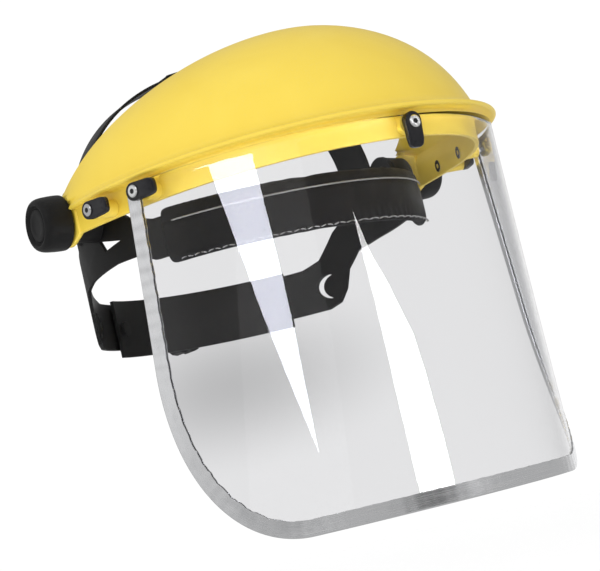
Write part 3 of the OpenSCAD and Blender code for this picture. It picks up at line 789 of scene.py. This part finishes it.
def knobPiece(side, name):
    # A plain grip, slightly tapered, with a rounded rim and a dished cap inside a fine groove.
    r, d, cap = knob["r"], knob["depth"], knob["cap"]
    profile = smoothProfile(
        [(0, 0), (r - 0.9, 0), (r - 0.1, 0.9), (r, 5.5), (r - 0.5, d * 0.78), (r - 1.6, d - 0.8), (r - 3.4, d),
         (r - 4.4, d - 0.7), (cap + 0.3, d - 1.9), (cap - 0.3, d - 2.0), (cap - 1.0, d - 1.1),
         (cap - 3.2, d - 0.95), (4, d - 1.5), (0, d - 1.6)],
        [0, 0.6, 1.0, 4.0, 3.0, 1.8, 1.6, 0.8, 0.5, 0.5, 0.7, 1.5, 2, 0])
    points, faces = lathe(profile, knob["segments"])
    world = np.stack([side * (knob["in"] + points[:, 2]), side * -points[:, 1], points[:, 0]], -1)
    body = name + "_knob"
    makePiece(name + "KnobGrip", world, faces, plastics["knobPlastic"], body,
              replaces=[body, body + "_cap"], sharp=50)


for side, name in ((-1, "right"), (1, "left")):
    knobPiece(side, name)
print("knobs made")

# Head loop, crown straps and pad.

loop = {"y": 4.0, "r": 94.0}
crown = {
    "front": 8, "back": 33, "root": 5, "rise": 72, "thick": 1.4, "over": 17, "lap": 1.8, "bead": 0.35,
    "bevel": 0.3, "slotLength": 5, "slotWidth": 2, "slotEvery": 9, "slotFrom": 48, "slotTo": 80,
}


def crownStrap(side, name):
    # An arched strap: it climbs from the head loop and crosses the crown, its edges turned up a little.
    lift = crown["lap"] if side > 0 else 0.0
    upright = np.linspace(-17, 0, 14, endpoint=False)
    arch = np.linspace(0, 90, 150)
    flat = np.linspace(90, 90 + crown["over"], 30)[1:]
    t = np.concatenate([upright * 4, arch, flat])
    y = np.linspace(crown["front"], crown["back"], 31)
    a, yy = np.meshgrid(np.radians(np.maximum(t, 0)), y, indexing="ij")
    bead = crown["bead"] * np.exp(-((np.minimum(yy - y[0], y[-1] - yy) - 1.2) / 0.7) ** 2)
    half = np.sqrt((loop["r"] - 1 + bead) ** 2 - (yy - loop["y"]) ** 2)
    up = crown["rise"] + lift + bead
    x = side * half * np.cos(a)
    z = crown["root"] + up * np.sin(a) + np.minimum(t, 0)[:, None] * 0.25
    points = np.stack([x, yy, z], -1)
    count, across = points.shape[:2]
    quads = gridFaces(count, across, flip=side > 0)
    # Adjusting slots: faces left out in a row along the middle of the strap, past the side of the head.
    steps = np.linalg.norm(np.diff(points[:, across // 2], axis=0), axis=1)
    length = np.concatenate([[0], np.cumsum(steps)])
    i, j = np.divmod(quads.min(axis=1), across)
    inSlot = length[i] % crown["slotEvery"] < crown["slotWidth"]
    inSlot &= np.abs(y[j] + 0.4 - y.mean()) < crown["slotLength"] / 2
    inSlot &= (t[i] > crown["slotFrom"]) & (t[i] < crown["slotTo"])
    piece = makePiece(name + "CrownStrap", points, quads[~inSlot], plastics["blackPlastic"], "headband",
                      replaces=[name + "_crown_strap"], sharp=60)
    finish(piece, "SOLIDIFY", thickness=crown["thick"] * mm, offset=0.0, use_even_offset=True)
    finish(piece, "BEVEL", width=crown["bevel"] * mm, segments=2, limit_method="ANGLE")


crownStrap(-1, "right")
crownStrap(1, "left")

pad = {
    "inner": 87.2, "outer": 97.4, "low": -38.8, "high": -6.8, "span": 59.3, "voxel": 0.003,
    "pressure": 4.0, "frames": 20, "cap": 0.0016, "seamZ": -15.5, "hemZ": -36.2,
    "seamSpan": 54, "stitchSpan": 52.8, "stitchEvery": 2.2,
}


def onLoop(r, a, z):
    # Points at a radius, an angle from the front and a height, round the head loop's axis.
    return np.stack(np.broadcast_arrays(r * np.sin(a), loop["y"] - r * np.cos(a), z), -1)


def padStart():
    # A rounded slab bent round the head loop, tapering in at its two ends.
    angle = np.linspace(-pad["span"], pad["span"], 121)
    turn = np.linspace(0, 2 * np.pi, 48, endpoint=False)
    halfThick, halfHigh = (pad["outer"] - pad["inner"]) / 2, (pad["high"] - pad["low"]) / 2
    c, s = signedPower(np.cos(turn), 0.45), signedPower(np.sin(turn), 0.45)
    end = np.clip((pad["span"] - np.abs(angle)) / 2.6, 0, 1)
    shrink = 0.35 + 0.65 * np.sqrt(1 - (1 - end) ** 2)
    r = (pad["outer"] + pad["inner"]) / 2 + (halfThick - 0.9) * shrink[:, None] * c
    z = (pad["low"] + pad["high"]) / 2 + (halfHigh - 0.9) * (0.8 + 0.2 * shrink[:, None]) * s
    a = np.radians(angle)[:, None]
    return onLoop(r, a, z), gridFaces(*r.shape, closeColumns=True, flip=True).tolist() + tubeCaps(*r.shape)


def puffPad(obj):
    # Cloth under inner pressure rounds the pad out; no point may go further than the cap.
    mesh = obj.data
    bpy.context.view_layer.objects.active = obj
    obj.select_set(True)
    remesh = finish(obj, "REMESH", mode="VOXEL", voxel_size=pad["voxel"])
    bpy.ops.object.modifier_apply(modifier=remesh.name)
    before = np.empty(len(mesh.vertices) * 3)
    mesh.vertices.foreach_get("co", before)
    cloth = obj.modifiers.new("Cloth", "CLOTH")
    cloth.settings.use_pressure = True
    cloth.settings.uniform_pressure_force = pad["pressure"]
    cloth.settings.effector_weights.gravity = 0
    for frameNumber in range(1, pad["frames"] + 1):
        bpy.context.scene.frame_set(frameNumber)
    bpy.ops.object.modifier_apply(modifier=cloth.name)
    bpy.context.scene.frame_set(1)
    after = np.empty(len(mesh.vertices) * 3)
    mesh.vertices.foreach_get("co", after)
    step = (after - before).reshape(-1, 3)
    far = np.linalg.norm(step, axis=1, keepdims=True)
    moved = before.reshape(-1, 3) + step * np.minimum(1, pad["cap"] / np.maximum(far, 1e-9))
    mesh.vertices.foreach_set("co", moved.ravel())
    obj.select_set(False)


def sewPad(obj):
    # After the puffing: one more subdivision, then a welded channel and a pinched hem as grooves in radius.
    bpy.context.view_layer.objects.active = obj
    smooth = finish(obj, "SUBSURF", levels=1, render_levels=1)
    bpy.ops.object.modifier_apply(modifier=smooth.name)
    mesh = obj.data
    co = np.empty(len(mesh.vertices) * 3)
    mesh.vertices.foreach_get("co", co)
    co = co.reshape(-1, 3) / mm
    dy, dx = loop["y"] - co[:, 1], co[:, 0]
    r, angle = np.hypot(dx, dy), np.degrees(np.arctan2(dx, dy))
    middle = (pad["inner"] + pad["outer"]) / 2
    side = np.clip((r - middle) / 3, -1, 1)
    groove = 1.0 * np.exp(-((co[:, 2] - pad["seamZ"]) / 0.9) ** 2) * np.maximum(side, 0)
    hem = 0.8 * np.exp(-((co[:, 2] - pad["hemZ"]) / 0.8) ** 2)
    wrinkle = 0.25 * np.sin(angle * 2.1 + 0.3 * co[:, 2]) * np.exp(-((co[:, 2] - pad["hemZ"]) / 5) ** 2)
    rNew = r - side * (groove + hem + wrinkle)
    a = np.radians(angle)
    mesh.vertices.foreach_set("co", (onLoop(rNew, a, co[:, 2]) * mm).ravel())
    mesh.shade_smooth()


padPoints, padFaces = padStart()
padPiece = makePiece("foreheadCushion", padPoints, padFaces, padLeatherette, "headband",
                     replaces=["forehead_pad"])
puffPad(padPiece)
sewPad(padPiece)
print("pad made")


def tubeAlong(path, radius, sides=10):
    # A round tube carried along a path: rings in the plane across the path, closed at both ends.
    run = unit(np.gradient(path, axis=0))
    sideways = unit(np.cross(run, np.array((0.0, 0.0, 1.0))))
    upward = np.cross(sideways, run)
    turn = np.linspace(0, 2 * np.pi, sides, endpoint=False)
    ring = np.cos(turn)[None, :, None] * sideways[:, None] + np.sin(turn)[None, :, None] * upward[:, None]
    taper = np.ones(len(path))
    taper[[0, -1]] = 0.5
    points = path[:, None] + ring * (radius * taper)[:, None, None]
    count = len(path)
    return points, gridFaces(count, sides, closeColumns=True, flip=True).tolist() + tubeCaps(count, sides)


def padSeam():
    # A raised bead that wanders a little along the welded channel.
    angle = np.linspace(-pad["seamSpan"], pad["seamSpan"], 260)
    a = np.radians(angle)
    r = pad["outer"] + 0.55 + 0.1 * np.sin(angle * 1.7)
    z = pad["seamZ"] + 0.5 * np.sin(np.radians(angle * 1.5)) + 0.05 * np.sin(angle * 3.1)
    return tubeAlong(onLoop(r, a, z), 0.42)


def padStitches():
    # Thread loops along the hem: each a short bowed tube whose ends go into the leatherette.
    parts = []
    t = np.linspace(-1, 1, 7)
    for k, middleAngle in enumerate(np.arange(-pad["stitchSpan"], pad["stitchSpan"] + 0.1, pad["stitchEvery"])):
        angle = np.radians(middleAngle + t * 0.8)
        r = pad["outer"] + 0.15 + 0.55 * (1 - t**2) - 0.5 * t**2
        z = pad["hemZ"] + 0.35 * t * (-1) ** k
        parts.append(tubeAlong(onLoop(r, angle, z), 0.32, 6))
    return joinParts(*parts)


seamPoints, seamFaces = padSeam()
makePiece("padSeamBead", seamPoints, seamFaces, paleThread, "headband")
stitchPoints, stitchFaces = padStitches()
makePiece("padStitches", stitchPoints, stitchFaces, paleThread, "headband")

# Finishes for the frame's own pieces.

slotFinish = {
    "yellow_shell": plastics["yellowShell"], "clear_sheet": clearSheet, "edge_metal": metals["edgeMetal"],
    "bright_rivet": metals["brightRivet"], "black_plastic": plastics["blackPlastic"],
    "knob_plastic": plastics["knobPlastic"], "pad_leatherette": padLeatherette, "steel": metals["steel"],
    "brass": metals["brass"],
}
nodeFinish = {
    "visor_studs": "yellow_shell", "button_rivets": "bright_rivet", "ratchet_pinion": "steel",
    "click_spring": "steel", "ratchet_screw": "steel", "right_knob_nut": "brass", "left_knob_nut": "brass",
}
for nodeName, obj in nodes.items():
    finishName = nodeFinish.get(nodeName, "black_plastic")
    if nodeName.endswith(("bolt", "washer")):
        finishName = "steel"
    for slotPlace in obj.material_slots:
        slotPlace.material = slotFinish[finishName]
print("frame pieces finished")

# Studio.

studio = {
    "floorZ": -0.32, "floorR": 6.0, "floorTone": 0.97, "floorGlow": 0.2,
    "diffuse": 0.78, "glossy": 0.42, "through": 1.0, "backdrop": 1.03,
    # Painted shade: a soft darker spot in the surround, met only by paths through the clear sheet.
    "throughSheetShade": {"towards": (0.498, 0.868, 0.058), "stretch": (1, 1, 2.2), "spread": 0.115, "depth": 0.36},
    "glows": [
        ((0.8, 0.6, 0.02), 0.4, 0.7), ((-0.95, 0.25, 0.12), 0.4, 0.4), ((-0.985, -0.15, -0.08), 0.25, 0.35),
        ((-0.665, -0.717, -0.205), 0.16, 0.9), ((0.17, -0.945, -0.27), 0.16, 0.9),
        ((0.53, -0.84, 0.12), 0.12, 2.0), ((-0.6, -0.6, 0.5), 0.4, 0.8)],
    "key": {"place": (-0.9, -0.9, 1.5), "size": 1.4, "power": 11.5},
    "fill": {"place": (-1.15, -1.05, -0.15), "size": 1.2, "power": 6.0},
}

# Two bright panels that show as white wedges in the clear sheet: rows of left and right edge points, in metres.
panels = {
    "sidePanel": {"tone": (0.86, 0.88, 1.0), "power": 50, "rows": [
        [(-1.13, -0.06, 0.36), (-0.98, -0.5, 0.33)], [(-1.05, -0.305, 0.2), (-0.89, -0.69, 0.155)],
        [(-0.935, -0.635, 0.0), (-0.8, -0.81, 0.0)], [(-0.865, -0.74, -0.07), (-0.765, -0.85, -0.07)],
        [(-0.715, -0.893, -0.186), (-0.713, -0.895, -0.187)]]},
    "lowPanel": {"tone": (1.0, 1.0, 1.0), "power": 42, "rows": [
        [(-0.148, -1.147, -0.007), (-0.146, -1.147, -0.008)], [(-0.127, -1.148, -0.05), (-0.06, -1.153, -0.05)],
        [(-0.09, -1.15, -0.1), (0.1, -1.146, -0.1)], [(-0.06, -1.149, -0.147), (0.233, -1.12, -0.147)],
        [(-0.04, -1.147, -0.187), (0.284, -1.104, -0.187)], [(0.0, -1.142, -0.26), (0.34, -1.08, -0.26)],
        [(0.055, -1.13, -0.36), (0.385, -1.055, -0.36)]]},
}


def addFloor():
    # A disc whose finish fades out with distance, so that it meets the white surround without a line.
    turn = np.linspace(0, 2 * np.pi, 96, endpoint=False)
    ring = np.stack([np.cos(turn), np.sin(turn), np.zeros(96)], -1) * studio["floorR"]
    ring[:, 2] = studio["floorZ"]
    mesh = bpy.data.meshes.new("studioFloor")
    mesh.from_pydata(ring.tolist(), [], [list(range(96))])
    material, tree, shader = newMaterial("floorPaint")
    place = objectSpace(tree)
    noise = addNoise(tree, place, 300.0, 3.0)
    tone = studio["floorTone"]
    mottled = mixColour(tree, noise, colour(*(tone,) * 3), colour(*(tone * 0.98,) * 3))
    tree.links.new(mottled, shader.inputs["Base Color"])
    shader.inputs["Roughness"].default_value = 0.9
    shader.inputs["Specular IOR Level"].default_value = 0.2
    shader.inputs["Emission Color"].default_value = colour(1, 1, 1)
    shader.inputs["Emission Strength"].default_value = studio["floorGlow"]
    away = addNode(tree, "ShaderNodeVectorMath", {0: place}, operation="LENGTH")
    tree.links.new(addRange(tree, away.outputs["Value"], 1.0, 3.5, 1, 0), shader.inputs["Alpha"])
    mesh.materials.append(material)
    obj = addObject("studioFloor", mesh)
    obj.visible_glossy = False


def addSurround():
    # A white surround whose level depends on the path that meets it, with soft glows for the mirror images and
    # a spot of painted shade seen only through the clear sheet.
    world = bpy.data.worlds.new("studioWorld")
    world.use_nodes = True
    tree = world.node_tree
    path = addNode(tree, "ShaderNodeLightPath")
    # Painted shade: paths through the clear sheet meet a darker level near one direction, which darkens the
    # view through the sheet.
    shadeSpot = studio["throughSheetShade"]
    place = addNode(tree, "ShaderNodeTexCoord").outputs["Generated"]
    offset = addNode(tree, "ShaderNodeVectorMath", {
        0: place, 1: tuple(unit(np.array(shadeSpot["towards"])))}, operation="SUBTRACT").outputs[0]
    squashed = addNode(tree, "ShaderNodeVectorMath", {
        0: offset, 1: shadeSpot["stretch"]}, operation="MULTIPLY").outputs[0]
    away = addNode(tree, "ShaderNodeVectorMath", {0: squashed}, operation="LENGTH").outputs["Value"]
    shade = addNode(tree, "ShaderNodeMapRange", {
        "Value": away, "From Min": 0.0, "From Max": shadeSpot["spread"], "To Min": studio["through"] - shadeSpot["depth"],
        "To Max": studio["through"]}, interpolation_type="SMOOTHSTEP").outputs["Result"]
    mirror = studio["glossy"]
    for towards, spread, gain in studio["glows"]:
        offset = addNode(tree, "ShaderNodeVectorMath", {
            0: place, 1: tuple(unit(np.array(towards)))}, operation="DISTANCE").outputs["Value"]
        glow = addNode(tree, "ShaderNodeMapRange", {
            "Value": offset, "From Max": spread, "To Min": gain, "To Max": 0.0},
            interpolation_type="SMOOTHSTEP").outputs["Result"]
        mirror = addMath(tree, "ADD", glow, mirror)
    # Each kind of path meets its own level: plain backdrop, view through the sheet, mirror images, lighting.
    level = studio["backdrop"]
    levels = {"Transmission Depth": shade, "Glossy Depth": mirror, "Diffuse Depth": studio["diffuse"]}
    for ray, strength in levels.items():
        level = addNode(tree, "ShaderNodeMix", {0: path.outputs[ray], 2: level, 3: strength}).outputs[0]
    tree.links.new(level, tree.nodes["Background"].inputs["Strength"])
    tree.nodes["Background"].inputs["Color"].default_value = colour(1, 1, 1)
    world.cycles.sampling_method = "NONE"
    bpy.context.scene.world = world


def addLamp(name, look, aim=(0, -0.05, 0)):
    # A round soft lamp that faces the aim and stays out of mirror images.
    data = bpy.data.lights.new(name, "AREA")
    data.shape, data.size, data.energy = "DISK", look["size"], look["power"]
    obj = addObject(name, data)
    back = unit(np.array(look["place"]) - np.array(aim))
    right = unit(np.cross((0.0, 0.0, 1.0), back))
    up = np.cross(back, right)
    turn = Matrix(np.stack([right, up, back], 1).tolist()).to_4x4()
    obj.matrix_world = Matrix.Translation(look["place"]) @ turn
    obj.visible_glossy = False


def addPanel(name, look):
    # A strip of evenly bright card between two edges, which lights the clear sheet alone.
    rows = np.array(look["rows"])
    mesh = bpy.data.meshes.new(name)
    mesh.from_pydata(rows.reshape(-1, 3).tolist(), [], gridFaces(len(rows), 2).tolist())
    material, tree, shader = newMaterial(name + "Light")
    shader.inputs["Base Color"].default_value = colour(0, 0, 0)
    shader.inputs["Emission Color"].default_value = colour(*look["tone"])
    shader.inputs["Emission Strength"].default_value = look["power"]
    mesh.materials.append(material)
    obj = addObject(name, mesh)
    obj.visible_camera = obj.visible_diffuse = obj.visible_transmission = obj.visible_shadow = False
    obj.light_linking.receiver_collection = glassOnly


addFloor()
addSurround()
glassOnly = bpy.data.collections.new("glassOnly")
glassOnly.objects.link(visorPiece)
for panelName, panelLook in panels.items():
    addPanel(panelName, panelLook)
addLamp("keyLamp", studio["key"])
addLamp("fillLamp", studio["fill"])
print("studio set")
